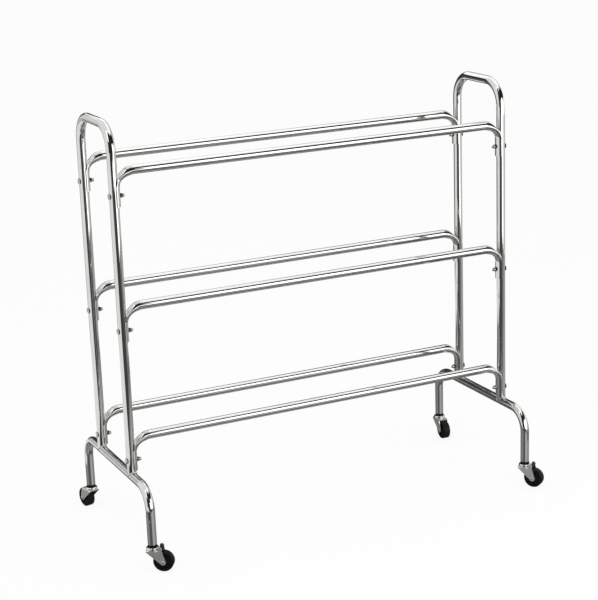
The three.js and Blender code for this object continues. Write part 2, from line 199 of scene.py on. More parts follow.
# Heights and radii that follow from the sizes
BORE_R = TUBE_R - TUBE_WALL
UPRIGHT_Y = UPRIGHT_SPAN_Y / 2
LEG_Y = LEG_SPAN_Y / 2
HOOP_TOP_Z = LOW_RAIL_Z + (len(TIERS) - 1) * RAIL_PITCH + HOOP_RISE
VENT_Z = BASE_TUBE_Z + VENT_RISE
NEST_NEAR_R = TUBE_R + CLEARANCE
NEST_FAR_R = NEST_NEAR_R + 2 * TUBE_WALL + RAIL_SLIT
NEST_MIDDLE_R = (NEST_NEAR_R + NEST_FAR_R) / 2
NUT_SEAT = NEST_FAR_R + CLEARANCE
BOLT_TIP = NUT_SEAT + NUT_HEX_H + NUT_DOME_H - BOLT_TIP_GAP
SOCKET_TOP = LEG_END_Z - CLEARANCE
SOCKET_LOW = SOCKET_TOP - SOCKET_FLANGE_H
CUP_TOP = SOCKET_LOW - CLEARANCE
CUP_LOW = CUP_TOP - RACE_CUP_H
RIM_TOP = CUP_LOW - CLEARANCE
CROWN_TOP = RIM_TOP - RACE_RIM_H
CROWN_LOW = CROWN_TOP - FORK_PLATE
STEM_TOP = SOCKET_TOP + SOCKET_DEPTH - GRIP_RECESS / 4
PIVOT_Z = RIM_TOP + PIVOT_RISE
FORK_HALF_WIDTH = FORK_GAP_HALF + FORK_PLATE
EAR_LIFT = CLEARANCE / 4

# Turned meshes stand along Z: bolts and nuts lie along X, and an axle along its caster's Y
LIE_ALONG_X = Matrix.Rotation(TAU / 4, 4, "Y")
AXLE_PLACE = Matrix.Translation((TRAIL, 0, WHEEL_R)) @ Matrix.Rotation(-TAU / 4, 4, "X")

# Name, darker and lighter tint, lowest and highest roughness, grain scale and depth, metallic
METALS = {
    "chrome_tube": (
        "chrome", (0.67, 0.67, 0.65), (0.71, 0.71, 0.69), 0.03, 0.06, 900, 0.001, 1,
    ),
    "plated_hardware": (
        "bright_plate", (0.46, 0.46, 0.45), (0.56, 0.56, 0.55), 0.08, 0.15, 700, 0.004, 1,
    ),
    "zinc_steel": (
        "zinc_plate", (0.72, 0.72, 0.69), (0.82, 0.82, 0.79), 0.22, 0.34, 1100, 0.003, 0.87,
    ),
    "race": (
        "polished_race", (0.74, 0.74, 0.71), (0.82, 0.82, 0.79), 0.06, 0.12, 1100, 0.001, 1,
    ),
    "rivet": (
        "rivet_steel", (0.46, 0.46, 0.44), (0.56, 0.56, 0.54), 0.3, 0.42, 1100, 0.003, 0.87,
    ),
}

# Name, darker and lighter tint, lowest and highest roughness, grain scale and depth
MOULDINGS = {
    "wheel_rubber": (
        "wheel_rubber", (0.003, 0.003, 0.003), (0.009, 0.009, 0.0088), 0.42, 0.6, 1300, 0.03,
    ),
    "black_plastic": (
        "black_plastic", (0.003, 0.003, 0.003), (0.009, 0.009, 0.009), 0.32, 0.5, 1600, 0.02,
    ),
}

# Scale and detail of the noise behind each effect, and the part of its range that is used
CLOUD_NOISE = (14, 3)
SMEAR_NOISE = (38, 5)
DUST_NOISE = (55, 4)
POLISH_DETAIL = 2
MOULD_DETAIL = 3
NOISE_LOW = 0.35
NOISE_HIGH = 0.65
POLISH_BUMP = 0.25
MOULD_BUMP = 0.5
MOULD_SPECULAR = 0.15

# The camera, solved from the photograph: its place from the middle of the hoops, and its aim
IMAGE_SIZE = (598, 600)
CAMERA_PLACE = (-1781.5, -3713.3, 1696.1)
CAMERA_YAW = math.radians(25.4813)
CAMERA_PITCH = math.radians(15.7334)
CAMERA_ROLL = math.radians(-2.0322)
CAMERA_FOCAL_PX = 1682.5

# The studio, in metres and in degrees round the cart from the camera to the picture's right
WORLD_LEVEL = 0.8
FLOOR_HALF = 30
FLOOR_COLOR = (0.95, 0.95, 0.95, 1)
FLOOR_WHITE_SHARE = 0.88
# Lift and mirror roughness of the painted reflection cards, which show only in reflections
CARD_LIFT = 0.0004
CARD_ROUGHNESS = 0.15
STUDIO_TARGET = (0, 0, 0.6)
CAMERA_RANGE = 100

# Painted reflections of the floor: sheets of emitted tone that show only in reflections, darker than
# the white floor; the nearest is a painted shadow under the cart
# Name, first and last bearing, near and far distance, tone, share that mirrors
FLOOR_PAINTED_REFLECTIONS = (
    ("near_floor_card", -180, 180, 0.01, 0.9, 0.13, 0.24),
    ("outer_floor_card", -60, 235, 0.9, 1.15, 0.05, 0.16),
    ("front_floor_card", -30, 20, 1.15, 8, 0.065, 0),
    ("front_right_floor_card", 20, 40, 1.15, 8, 0.08, 0),
    ("right_floor_card", 40, 72, 1.15, 2.9, 0.2, 0),
    ("far_right_floor_card", 72, 150, 1.15, 2.9, 0.45, 0),
)

# Painted reflections round the cart: upright sheets of emitted tone that show only in reflections; the
# dark ones are painted shade, and those above one are painted highlights that light nothing
# Name, first and last bearing, distance, lowest and highest point, tone
STANDING_PAINTED_REFLECTIONS = (
    ("front_card", -45, 12, 8, 0, 4.6, 0.035),
    ("near_front_card", -30, 27, 1.5, 0.75, 4.2, 0.03),
    ("front_glow", 14, 36, 2.9, 0.35, 1.9, 2),
    ("right_glow", 36, 68, 2.9, 0, 1.9, 2.2),
    ("right_panel", 70, 150, 2.95, 0, 0.6, 0.7),
    ("upper_right_panel", 70, 150, 2.95, 0.6, 1.6, 1.25),
    ("high_card", 10, 118, 3.3, 1.7, 5.8, 0.02),
    ("rear_panel", 150, 233, 1.8, 0, 0.7, 0.11),
    ("upper_rear_panel", 150, 233, 1.8, 0.7, 1.6, 0.045),
    ("high_rear_panel", 178, 218, 1.8, 1.7, 3.3, 1.45),
    ("rear_left_panel", 233, 255, 1.9, 0, 0.8, 0.6),
    ("upper_rear_left_panel", 233, 255, 1.9, 0.8, 1.5, 0.82),
)

# A painted highlight overhead: a bright sheet of emitted tone that shows only in reflections and lights
# nothing
# Name, range along X, range along Y, height, tone
CEILING_PAINTED_REFLECTIONS = (("ceiling_card", 0.2, 2.4, -1, 2, 3.4, 1.45),)

# Name, bearing, distance, height, width, tallness, brightness
SOFT_BOXES = (
    ("right_box", 50, 3, 1.15, 1.7, 2.2, 1.7),
    ("top_box", -10, 2.3, 3.3, 2.4, 2.4, 1.45),
)


# Places on the cart


def tier_z(level):
    """Height of the rails' middle line in a tier, counted from the lowest."""
    return LOW_RAIL_Z + level * RAIL_PITCH


def hoop_centre(end):
    """Middle of a hoop in millimetres."""
    low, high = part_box(f"hoop_{end}")
    return (low + high) / 2 / MM


def hoops_middle():
    """The place half way between the two hoops."""
    return (hoop_centre("left") + hoop_centre("right")) / 2


def upright_x():
    """Distance along X from the middle of the cart to its uprights."""
    return (hoop_centre("right").x - hoop_centre("left").x) / 2


def caster_place(name):
    """The caster's own frame, from the places of its swivel and of its axle."""
    joints = {joint["name"]: joint for joint in frame["joints"]}
    swivel = Vector(joints[f"swivel_{name}"]["pos_m"]) / MM
    axle = Vector(joints[f"roll_{name}"]["pos_m"]) / MM
    heading = math.atan2(axle.y - swivel.y, axle.x - swivel.x)
    return Matrix.Translation((swivel.x, swivel.y, 0)) @ Matrix.Rotation(heading, 4, "Z")


# Meshes and pieces


def make_mesh(name, verts, faces):
    """A smooth-shaded mesh in metres with its edges kept sharp where faces meet at an angle."""
    mesh = bpy.data.meshes.new(name)
    mesh.from_pydata([tuple(Vector(v) * MM) for v in verts], [], faces)
    mesh.validate()
    mesh.polygons.foreach_set("use_smooth", [True] * len(mesh.polygons))
    mesh.set_sharp_from_angle(angle=SHARP_ANGLE)
    mesh.update()
    return mesh


def metres(matrix):
    """The same placement with its shift in metres."""
    moved = matrix.copy()
    moved.translation = matrix.translation * MM
    return moved


def linked(name, data):
    """A new object in the scene that holds a mesh, a lamp or a camera."""
    thing = bpy.data.objects.new(name, data)
    bpy.context.scene.collection.objects.link(thing)
    return thing


def add_piece(name, mesh, place, body, slot_name, replaced=()):
    """A visible piece that rides on a body and stands for the solids of the given nodes."""
    piece = linked(name, mesh)
    piece.matrix_world = metres(place)
    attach(piece, body)
    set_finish(piece, slot_name)
    if replaced:
        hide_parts(*replaced)
    return piece


def join_shells(*shells):
    """Several shells as one list of vertices and one of faces."""
    verts, faces = [], []
    for shell_verts, shell_faces in shells:
        start = len(verts)
        verts.extend(shell_verts)
        faces.extend([tuple(start + i for i in face) for face in shell_faces])
    return verts, faces


def moved_shell(shell, matrix):
    """The shell at another place."""
    verts, faces = shell
    return [matrix @ Vector(v) for v in verts], faces


def combined(mesh, tools, operation):
    """The mesh after a boolean with each tool, an exact one so that thin walls stay clean."""
    body = linked("blank", mesh)
    helpers = [linked("tool", tool) for tool in tools]
    for helper in helpers:
        cut = body.modifiers.new("cut", "BOOLEAN")
        cut.operation = operation
        cut.solver = "EXACT"
        cut.object = helper
    bpy.context.view_layer.update()
    final = body.evaluated_get(bpy.context.evaluated_depsgraph_get())
    result = bpy.data.meshes.new_from_object(final)
    result.name = mesh.name
    for helper in [body, *helpers]:
        bpy.data.objects.remove(helper)
    result.polygons.foreach_set("use_smooth", [True] * len(result.polygons))
    result.set_sharp_from_angle(angle=SHARP_ANGLE)
    return result


def cut_out(mesh, shells):
    """The mesh with each of the closed shells cut out of it."""
    return combined(mesh, [make_mesh("hole", *shell) for shell in shells], "DIFFERENCE")


def bevel_edges(piece, width):
    """Rounds a piece's hard edges by a width in millimetres."""
    bevel = piece.modifiers.new("edges", "BEVEL")
    bevel.width = width * MM
    bevel.segments = BEVEL_SEGMENTS
    bevel.limit_method = "ANGLE"
    bevel.angle_limit = SHARP_ANGLE
    bevel.harden_normals = True


# Outlines and profiles


def arc(centre_x, centre_z, radius, start, end):
    """Points along an arc, from its start angle to its end angle."""
    angles = [start + (end - start) * k / ARC_STEPS for k in range(ARC_STEPS + 1)]
    return [(centre_x + radius * math.cos(a), centre_z + radius * math.sin(a)) for a in angles]


def rectangle(left, right, low, high):
    """The four corners of a rectangle, going round it."""
    return [(left, low), (right, low), (right, high), (left, high)]


def mirrored(points):
    """The points in reverse, with their second value on the other side of zero."""
    return [(first, -second) for first, second in reversed(points)]


def round_outline(radius):
    """A circle with as many points as every outline of a tube."""
    step = TAU / TUBE_SIDES
    return [(radius * math.cos(k * step), radius * math.sin(k * step)) for k in range(TUBE_SIDES)]


def blended(first, second, share):
    """An outline between two others, by the second one's share."""
    return [(a + (c - a) * share, b + (d - b) * share) for (a, b), (c, d) in zip(first, second)]


def soften(points, cut, closed=False):
    """Rounds the corners of a profile, starting the curve at a cut's distance from each corner."""
    count = len(points)
    soft = []
    for i, corner in enumerate(points):
        if not closed and i in (0, count - 1):
            soft.append(corner)
            continue
        corner = Vector(corner)
        before = Vector(points[i - 1]) - corner
        after = Vector(points[(i + 1) % count]) - corner
        start = corner + before * min(cut / before.length, CORNER_SHARE)
        end = corner + after * min(cut / after.length, CORNER_SHARE)
        for k in range(CORNER_STEPS + 1):
            t = k / CORNER_STEPS
            point = start * (1 - t) ** 2 + corner * (2 * t * (1 - t)) + end * t ** 2
            soft.append(tuple(point))
    return soft


# Shells that are turned, extruded or swept, each as its vertices and faces


def rings_of(verts, size):
    """The numbers of the vertices, ring by ring."""
    return [range(start, start + size) for start in range(0, len(verts), size)]


def quad(first, second, k):
    """The face between two rings that runs from place k to the next one."""
    after = (k + 1) % len(first)
    return first[k], first[after], second[after], second[k]


def flipped(face):
    """The same face turned over, with the same first corner."""
    return (face[0], *reversed(face[1:]))


def lathe(profile, closed=False, sides=LATHE_SIDES):
    """Turns (radius, height) pairs about Z: a closed loop, or a line from the axis to the axis."""
    verts, rings = [], []
    for radius, height in profile:
        if radius == 0:
            rings.append([len(verts)] * sides)
            verts.append(Vector((0, 0, height)))
            continue
        rings.append(range(len(verts), len(verts) + sides))
        for k in range(sides):
            turn = TAU * k / sides
            verts.append(Vector((radius * math.cos(turn), radius * math.sin(turn), height)))
    pairs = list(zip(rings, rings[1:]))
    if closed:
        pairs.append((rings[-1], rings[0]))
    faces = [tuple(dict.fromkeys(quad(low, high, k))) for low, high in pairs for k in range(sides)]
    return verts, faces


def extrude(outline, low, high):
    """A closed outline of (x, z) pairs made solid between two places along Y."""
    verts = [Vector((x, y, z)) for y in (low, high) for x, z in outline]
    near, far = rings_of(verts, len(outline))
    sides = [flipped(quad(near, far, k)) for k in near]
    return verts, [tuple(near), tuple(reversed(far)), *sides]


def rod(start, end, radius):
    """A plain round bar between two points."""
    along = Vector(end) - Vector(start)
    profile = [(0, 0), (radius, 0), (radius, along.length), (0, along.length)]
    turn = along.to_track_quat("Z", "Y").to_matrix().to_4x4()
    return moved_shell(lathe(profile, sides=SMALL_SIDES), Matrix.Translation(start) @ turn)


def cross_rod(x, z, half_width, radius):
    """A round bar that lies across a caster."""
    return rod((x, -half_width, z), (x, half_width, z), radius)


def sweep(stations):
    """A hollow tube through stations of (place, normal, side, outer outline, inner outline)."""
    verts = []
    for place, normal, side, outer, inner in stations:
        verts.extend(place + normal * n + side * b for n, b in [*outer, *inner])
    rings = rings_of(verts, TUBE_SIDES)
    outer_rings, inner_rings = rings[::2], rings[1::2]
    faces = []
    for k in range(TUBE_SIDES):
        for s in range(len(stations) - 1):
            faces.append(flipped(quad(outer_rings[s], outer_rings[s + 1], k)))
            faces.append(quad(inner_rings[s], inner_rings[s + 1], k))
        faces.append(quad(outer_rings[0], inner_rings[0], k))
        faces.append(flipped(quad(outer_rings[-1], inner_rings[-1], k)))
    return verts, faces


def bent_half(out, side, reach, top_z, bend_r, heights, outlines):
    """Stations of a level run along `out`, a quarter bend and a drop through the given heights."""
    stations = []
    for step in range(BEND_STEPS + 1):
        angle = TAU / 4 * step / BEND_STEPS
        level = reach - bend_r * (1 - math.sin(angle))
        place = out * level + UP * (top_z - bend_r * (1 - math.cos(angle)))
        normal = UP * math.cos(angle) + out * math.sin(angle)
        stations.append((place, normal, side, *outlines(angle)))
    for height in heights:
        stations.append((out * reach + UP * height, out, side, *outlines(TAU / 4)))
    return stations


def bent_tube(out, reach, top_z, bend_r, heights, outlines):
    """A tube along `out` about its middle, with both ends bent down."""
    side = UP.cross(out)
    left = bent_half(-out, side, reach, top_z, bend_r, heights, outlines)
    right = bent_half(out, side, reach, top_z, bend_r, heights, outlines)
    return sweep([*reversed(left), *right])


# The frame's tubes


def round_tube(_angle):
    """A tube's outer and inner outline, the same at every angle of a bend."""
    return round_outline(TUBE_R), round_outline(BORE_R)


def saddle_rise(across):
    """Height of a base tube's surface over its axis, at a distance across it."""
    return math.sqrt(max(TUBE_R ** 2 - across ** 2, 0))


def hoop_mesh():
    """An end hoop with its feet cut to sit on the base tube; its outer side faces minus X."""
    bolt_heights = [tier_z(level) - BOLT_DROP for level in range(len(TIERS))]
    margins = (-HOLE_MARGIN, HOLE_MARGIN)
    marks = sorted((z + margin for z in [*bolt_heights, VENT_Z] for margin in margins), reverse=True)
    verts, faces = bent_tube(
        ALONG_Y, UPRIGHT_Y, HOOP_TOP_Z, HOOP_BEND_R, [*marks, BASE_TUBE_Z], round_tube
    )
    foot = 2 * TUBE_SIDES
    for vert in [*verts[:foot], *verts[-foot:]]:
        vert.z = BASE_TUBE_Z + saddle_rise(vert.x)
    through = 2 * TUBE_R
    holes = []
    for y in (-UPRIGHT_Y, UPRIGHT_Y):
        for z in bolt_heights:
            holes.append(rod((-through, y, z), (through, y, z), BOLT_R + CLEARANCE))
        holes.append(rod((-through, y, VENT_Z), (0, y, VENT_Z), VENT_R))
    return cut_out(make_mesh("hoop", verts, faces), holes)


def base_tube_mesh():
    """A base tube with a leg bent down at both ends."""
    heights = [LEG_END_Z + HOLE_MARGIN, LEG_END_Z]
    tube = bent_tube(ALONG_Y, LEG_Y, BASE_TUBE_Z, LEG_BEND_R, heights, round_tube)
    return make_mesh("base_tube", *tube)


def bead_mesh():
    """The weld round an upright's foot: a thin rippled bead along the line where the tubes meet."""
    verts = []
    for k in range(BEAD_RINGS):
        turn = TAU * k / BEAD_RINGS
        outward = Vector((math.cos(turn), math.sin(turn), 0))
        foot = outward * TUBE_R + UP * saddle_rise(TUBE_R * math.cos(turn))
        radius = BEAD_R + BEAD_RIPPLE * math.sin(BEAD_RIPPLES * turn)
        for j in range(BEAD_SIDES):
            roll = TAU * j / BEAD_SIDES
            verts.append(foot + (outward * math.cos(roll) + UP * math.sin(roll)) * radius)
    rings = rings_of(verts, BEAD_SIDES)
    pairs = zip(rings, [*rings[1:], rings[0]])
    faces = [flipped(quad(this, following, j)) for this, following in pairs for j in range(BEAD_SIDES)]
    return make_mesh("bead", verts, faces)


def nest_outline(near, far):
    """A crushed tube end round the upright: near face, rounded tip, far face, and their mirror."""
    half = TUBE_SIDES // 2
    near_steps = round(half * NEAR_SHARE)
    tip_steps = round(half * TIP_SHARE)
    thick = (far - near) / 2
    radial = Vector((math.cos(NEST_WRAP), math.sin(NEST_WRAP)))
    onward = Vector((-radial.y, radial.x))
    points = []
    for k in range(half + 1):
        if k <= near_steps:
            angle = NEST_WRAP * k / near_steps
            point = Vector((near * math.cos(angle), near * math.sin(angle)))
        elif k < near_steps + tip_steps:
            turn = TAU / 2 * (k - near_steps) / tip_steps
            point = radial * (NEST_MIDDLE_R - thick * math.cos(turn)) + onward * thick * math.sin(turn)
        else:
            angle = NEST_WRAP * (half - k) / (half - near_steps - tip_steps)
            point = Vector((far * math.cos(angle), far * math.sin(angle)))
        points.append((NEST_MIDDLE_R - point.x, point.y))
    return points + mirrored(points[1:-1])


def rail_mesh():
    """A rail about its middle, its ends bent down and crushed to a crescent within the bend."""
    outer = (round_outline(TUBE_R), nest_outline(NEST_NEAR_R, NEST_FAR_R))
    inner = (round_outline(BORE_R), nest_outline(NEST_NEAR_R + TUBE_WALL, NEST_FAR_R - TUBE_WALL))

    def outlines(angle):
        t = min(max((angle - CRUSH_START) / (CRUSH_END - CRUSH_START), 0), 1)
        share = t * t * (3 - 2 * t)
        return blended(*outer, share), blended(*inner, share)

    reach = upright_x() - NEST_MIDDLE_R
    heights = [-BOLT_DROP + HOLE_MARGIN, -BOLT_DROP - HOLE_MARGIN, -BOLT_DROP - BOLT_EDGE]
    blank = make_mesh("rail", *bent_tube(ALONG_X, reach, 0, RAIL_BEND_R, heights, outlines))
    holes = []
    for end in (-1, 1):
        start = (end * (reach - RAIL_BEND_R), 0, -BOLT_DROP)
        holes.append(rod(start, (end * (reach + TUBE_R), 0, -BOLT_DROP), BOLT_R + CLEARANCE))
    return cut_out(blank, holes)


# Bolts and cap nuts


def bolt_mesh():
    """A bolt through an upright, whose axis is at zero, with a low domed head on its outer side."""
    seat = -TUBE_R - CLEARANCE
    crown = [(0, seat - BOLT_HEAD_H)]
    for k in range(1, ARC_STEPS + 1):
        lean = TAU / 4 * k / ARC_STEPS
        height = BOLT_HEAD_H * (BOLT_BRIM_SHARE + (1 - BOLT_BRIM_SHARE) * math.cos(lean))
        crown.append((BOLT_HEAD_R * math.sin(lean), seat - height))
    tip = [(BOLT_R, BOLT_TIP - 2 * TIP_ROUNDING), (BOLT_R, BOLT_TIP), (0, BOLT_TIP)]
    profile = [*crown, (BOLT_HEAD_R, seat), (BOLT_R, seat), *soften(tip, TIP_ROUNDING)]
    shell = lathe(profile, sides=SMALL_SIDES)
    return make_mesh("bolt", *moved_shell(shell, LIE_ALONG_X))


def hex_radius(turn):
    """Distance from the axis to the side of the hexagon in that direction."""
    sixth = TAU / 6
    return NUT_FLATS / 2 / math.cos((turn + sixth / 2) % sixth - sixth / 2)


def round_ring(radius, height):
    """A nut's ring of equal (radius, height) pairs."""
    return [(radius, height)] * NUT_SIDES


def nut_mesh():
    """A cap nut on its seat: a hexagon with its corners cut back, a dome on it and a blind bore."""
    bore_r = BOLT_R + CLEARANCE
    chamfer_r = NUT_FLATS / 2 * NUT_CHAMFER_SHARE
    neck_h = NUT_HEX_H + NUT_DOME_H - NUT_DOME_R
    turns = [TAU * k / NUT_SIDES for k in range(NUT_SIDES)]
    sides = [hex_radius(turn) for turn in turns]
    cuts = [(side - chamfer_r) * NUT_CHAMFER_SLOPE for side in sides]
    layers = [
        round_ring(bore_r, BOLT_TIP - NUT_SEAT + CLEARANCE),
        round_ring(bore_r, 0),
        round_ring(chamfer_r, 0),
        list(zip(sides, cuts)),
        [(side, NUT_HEX_H - cut) for side, cut in zip(sides, cuts)],
        round_ring(chamfer_r, NUT_HEX_H),
        round_ring(NUT_DOME_R, NUT_HEX_H),
        *(round_ring(*point) for point in arc(0, neck_h, NUT_DOME_R, 0, TAU / 4)[:-1]),
    ]
    verts = []
    for layer in layers:
        for turn, (radius, height) in zip(turns, layer):
            verts.append(Vector((radius * math.cos(turn), radius * math.sin(turn), height)))
    rings = rings_of(verts, NUT_SIDES)
    faces = [quad(low, high, k) for low, high in zip(rings, rings[1:]) for k in range(NUT_SIDES)]
    faces += [tuple(rings[-1]), tuple(reversed(rings[0]))]
    return make_mesh("cap_nut", *moved_shell((verts, faces), LIE_ALONG_X))


# Casters are built about the swivel axis, trailing towards plus X, with the floor at zero


def socket_mesh():
    """The plastic socket in a leg's end, with its flange below and a recess for the stem's grip."""
    top = SOCKET_TOP + SOCKET_DEPTH
    grip_r, stem_r, body_r = STEM_GRIP_R + CLEARANCE, STEM_R + CLEARANCE, BORE_R - CLEARANCE
    profile = soften([
        (stem_r, SOCKET_LOW), (TUBE_R, SOCKET_LOW), (TUBE_R, SOCKET_TOP), (body_r, SOCKET_TOP),
        (body_r, top), (grip_r, top), (grip_r, top - GRIP_RECESS), (stem_r, top - GRIP_RECESS),
    ], SOCKET_ROUNDING, closed=True)
    return make_mesh("socket", *lathe(profile, closed=True))


def stem_mesh():
    """The stem, with a riveted head under the fork and a grip near its top."""
    head_top = CROWN_LOW - CLEARANCE
    grip_low = STEM_TOP - STEM_GRIP_H
    profile = soften([
        (0, head_top - STEM_HEAD_H), (STEM_HEAD_R * RIVET_TIP_SHARE, head_top - STEM_HEAD_H),
        (STEM_HEAD_R, head_top - STEM_HEAD_H / 3), (STEM_HEAD_R, head_top), (STEM_R, head_top),
        (STEM_R, grip_low), (STEM_GRIP_R, grip_low + STEM_GRIP_H / 3),
        (STEM_GRIP_R, STEM_TOP - STEM_GRIP_H / 3), (STEM_R, STEM_TOP), (0, STEM_TOP),
    ], TIP_ROUNDING)
    return make_mesh("stem", *lathe(profile, sides=SMALL_SIDES))


def cup_mesh():
    """The upper race, whose outer side rounds down from its flat top."""
    step = RACE_CUP_H / 3
    stem_r = STEM_R + CLEARANCE
    inner = [(stem_r, CUP_TOP), (stem_r, CUP_LOW + step), (RACE_R - RACE_LIP - step, CUP_LOW + step)]
    outer = arc(RACE_R - RACE_CUP_H, CUP_LOW, RACE_CUP_H, 0, TAU / 4)
    return make_mesh("cup", *lathe([*inner, *outer], closed=True))


def rim_mesh():
    """The lower race's rim, which stands on the fork's crown, with a round outer side."""
    low = CROWN_TOP - FORK_PLATE / 2
    inner_r = RACE_R - RACE_LIP - FORK_PLATE / 2
    bulge = (RIM_TOP - low) / 2
    outer = arc(RACE_R - bulge, low + bulge, bulge, -TAU / 4, TAU / 4)
    return make_mesh("rim", *lathe([(inner_r, RIM_TOP), (inner_r, low), *outer], closed=True))


def channel_outline():
    """The folded sheet seen along the fork: down one side, over the crown, down the other."""
    low = -FORK_PLATE
    outer, inner = FORK_HALF_WIDTH, FORK_GAP_HALF
    bend, bore = FORK_FOLD_R, FORK_FOLD_R - FORK_PLATE
    over = arc(outer - bend, CROWN_TOP - bend, bend, 0, TAU / 4)
    under = arc(outer - bend, CROWN_TOP - bend, bore, TAU / 4, 0)
    far_over, far_under = ([(-x, z) for x, z in reversed(points)] for points in (over, under))
    return [
        (outer, low), *over, *far_over, (-outer, low),
        (-inner, low), *far_under, *under, (inner, low),
    ]


def fork_side_outline(crown_rear):
    """The fork seen from the side, in trail direction and height, tapering to the axle."""
    tip = arc(TRAIL, WHEEL_R, FORK_TIP_R, FORK_TIP_FROM, FORK_TIP_TO)
    top = CROWN_TOP + FORK_PLATE
    return [
        (-FORK_FRONT_REACH, top), (-FORK_FRONT_REACH, CROWN_LOW - FORK_PLATE / 2), *tip,
        (FORK_REAR_REACH, CROWN_LOW), (crown_rear, CROWN_TOP - CLEARANCE), (crown_rear, top),
    ]


def fork_mesh(braked):
    """A pressed fork: the folded channel cut to its side view, open behind where a lever swings."""
    rear = FORK_REAR_REACH + FORK_TIP_R + OVERSHOOT
    crown_rear = PIVOT_X - EAR_R if braked else FORK_REAR_REACH
    across = 2 * FORK_HALF_WIDTH
    channel = extrude(channel_outline(), -FORK_FRONT_REACH - OVERSHOOT, rear)
    channel = moved_shell(channel, Matrix.Rotation(-TAU / 4, 4, "Z"))
    side = extrude(fork_side_outline(crown_rear), -across, across)
    folded = combined(make_mesh("fork", *channel), [make_mesh("side", *side)], "INTERSECT")
    low, high = CROWN_LOW - OVERSHOOT, CROWN_TOP + OVERSHOOT
    holes = [
        rod((0, 0, low), (0, 0, high), STEM_R + CLEARANCE),
        cross_rod(TRAIL, WHEEL_R, across, AXLE_R + CLEARANCE),
    ]
    if braked:
        notch = rectangle(crown_rear, rear, low, RIM_TOP)
        holes.append(extrude(notch, -FORK_GAP_HALF, FORK_GAP_HALF))
    return cut_out(folded, holes)


def wheel_mesh():
    """The wheel and its hub: rounded tread, a stepped rim, a dished web and a long hub."""
    half = TREAD_WIDTH / 2
    edge = half + WHEEL_SHOULDER / 2
    right = [
        (AXLE_R + CLEARANCE, HUB_HALF_WIDTH), (HUB_R, HUB_HALF_WIDTH), (HUB_R, WHEEL_DISH_X),
        (WHEEL_RIM_R, WHEEL_DISH_X), (WHEEL_RIM_R, edge), (WHEEL_R - WHEEL_SHOULDER, edge),
        (WHEEL_R, half),
    ]
    profile = soften([*right, *mirrored(right)], WHEEL_ROUNDING, closed=True)
    return make_mesh("wheel", *lathe(profile, closed=True))


def axle_mesh():
    """The axle, with a riveted head on the outside of each side plate."""
    seat = FORK_HALF_WIDTH + CLEARANCE
    tip = seat + AXLE_HEAD_H
    half = [
        (0, tip), (AXLE_HEAD_R * RIVET_TIP_SHARE, tip), (AXLE_HEAD_R, seat + AXLE_HEAD_H / 3),
        (AXLE_HEAD_R, seat), (AXLE_R, seat),
    ]
    profile = soften([*half, *mirrored(half)], TIP_ROUNDING)
    return make_mesh("axle", *lathe(profile, sides=SMALL_SIDES))


def ears_mesh():
    """The two lugs for the brake's pivot: each rises from a side plate, a hair further out."""
    low = CROWN_LOW - FORK_TIP_R
    top = arc(PIVOT_X, PIVOT_Z, EAR_R, 0, TAU / 2)
    outline = [(PIVOT_X - EAR_R, low), (PIVOT_X + EAR_R / 2, low), *top]
    inner, outer = FORK_GAP_HALF + EAR_LIFT, FORK_HALF_WIDTH + EAR_LIFT
    lugs = join_shells(extrude(outline, -outer, -inner), extrude(outline, inner, outer))
    return make_mesh("ears", *lugs)


def brake_mesh():
    """A brake lever: a curved hood with its shoe, a web, the barrel and the pivot pin."""
    tread_gap = math.hypot(TRAIL - PIVOT_X, WHEEL_R - PIVOT_Z) - WHEEL_R - CLEARANCE
    back_x = PIVOT_X + HOOD_AHEAD + HOOD_R
    shoe_z = PIVOT_Z - math.sqrt(tread_gap ** 2 - (HOOD_AHEAD + HOOD_R) ** 2)
    centre = (PIVOT_X + HOOD_AHEAD, PIVOT_Z + HOOD_RISE)
    outline = [
        *arc(*centre, HOOD_R, HOOD_START, 0), (back_x, shoe_z), (back_x - HOOD_THICK, shoe_z),
        *arc(*centre, HOOD_R - HOOD_THICK, 0, HOOD_START),
    ]
    hood = extrude(outline, -HOOD_HALF_WIDTH, HOOD_HALF_WIDTH)
    half_web = HOOD_THICK / 2
    web_top = PIVOT_Z + HOOD_RISE + HOOD_R - half_web
    web_outline = rectangle(PIVOT_X - half_web, PIVOT_X + half_web, PIVOT_Z, web_top)
    web = extrude(web_outline, -BRAKE_HALF_WIDTH / 2, BRAKE_HALF_WIDTH / 2)
    barrel = cross_rod(PIVOT_X, PIVOT_Z, BRAKE_HALF_WIDTH, BRAKE_BARREL_R)
    pin = cross_rod(PIVOT_X, PIVOT_Z, FORK_HALF_WIDTH, PIVOT_R)
    return make_mesh("brake", *join_shells(hood, web, barrel, pin))


# Assembly


def build_end(end, side_x, hoop, base_tube, bead, bolt, nut):
    """One end of the cart: its hoop on its base tube, with welds, bolts and nuts."""
    centre = hoop_centre(end)
    turn = Matrix.Rotation(0 if side_x < 0 else TAU / 2, 4, "Z")
    place = Matrix.Translation((centre.x, centre.y, 0)) @ turn
    add_piece(f"end_hoop_{end}", hoop, place, "frame", "chrome_tube", [f"hoop_{end}"])
    add_piece(f"leg_tube_{end}", base_tube, place, "frame", "chrome_tube", [f"base_tube_{end}"])
    for row, side_y in ROWS:
        across = -side_x * side_y * UPRIGHT_Y
        foot = place @ Matrix.Translation((0, across, BASE_TUBE_Z))
        add_piece(f"weld_{row}_{end}", bead, foot, "frame", "chrome_tube")
        for level, tier in enumerate(TIERS):
            spot = place @ Matrix.Translation((0, across, tier_z(level) - BOLT_DROP))
            seat = spot @ Matrix.Translation((NUT_SEAT, 0, 0))
            tail = f"{tier}_{row}_{end}"
            add_piece(f"screw_{tail}", bolt, spot, "frame", "plated_hardware", [f"bolt_{tail}"])
            add_piece(f"dome_nut_{tail}", nut, seat, "frame", "plated_hardware", [f"cap_nut_{tail}"])


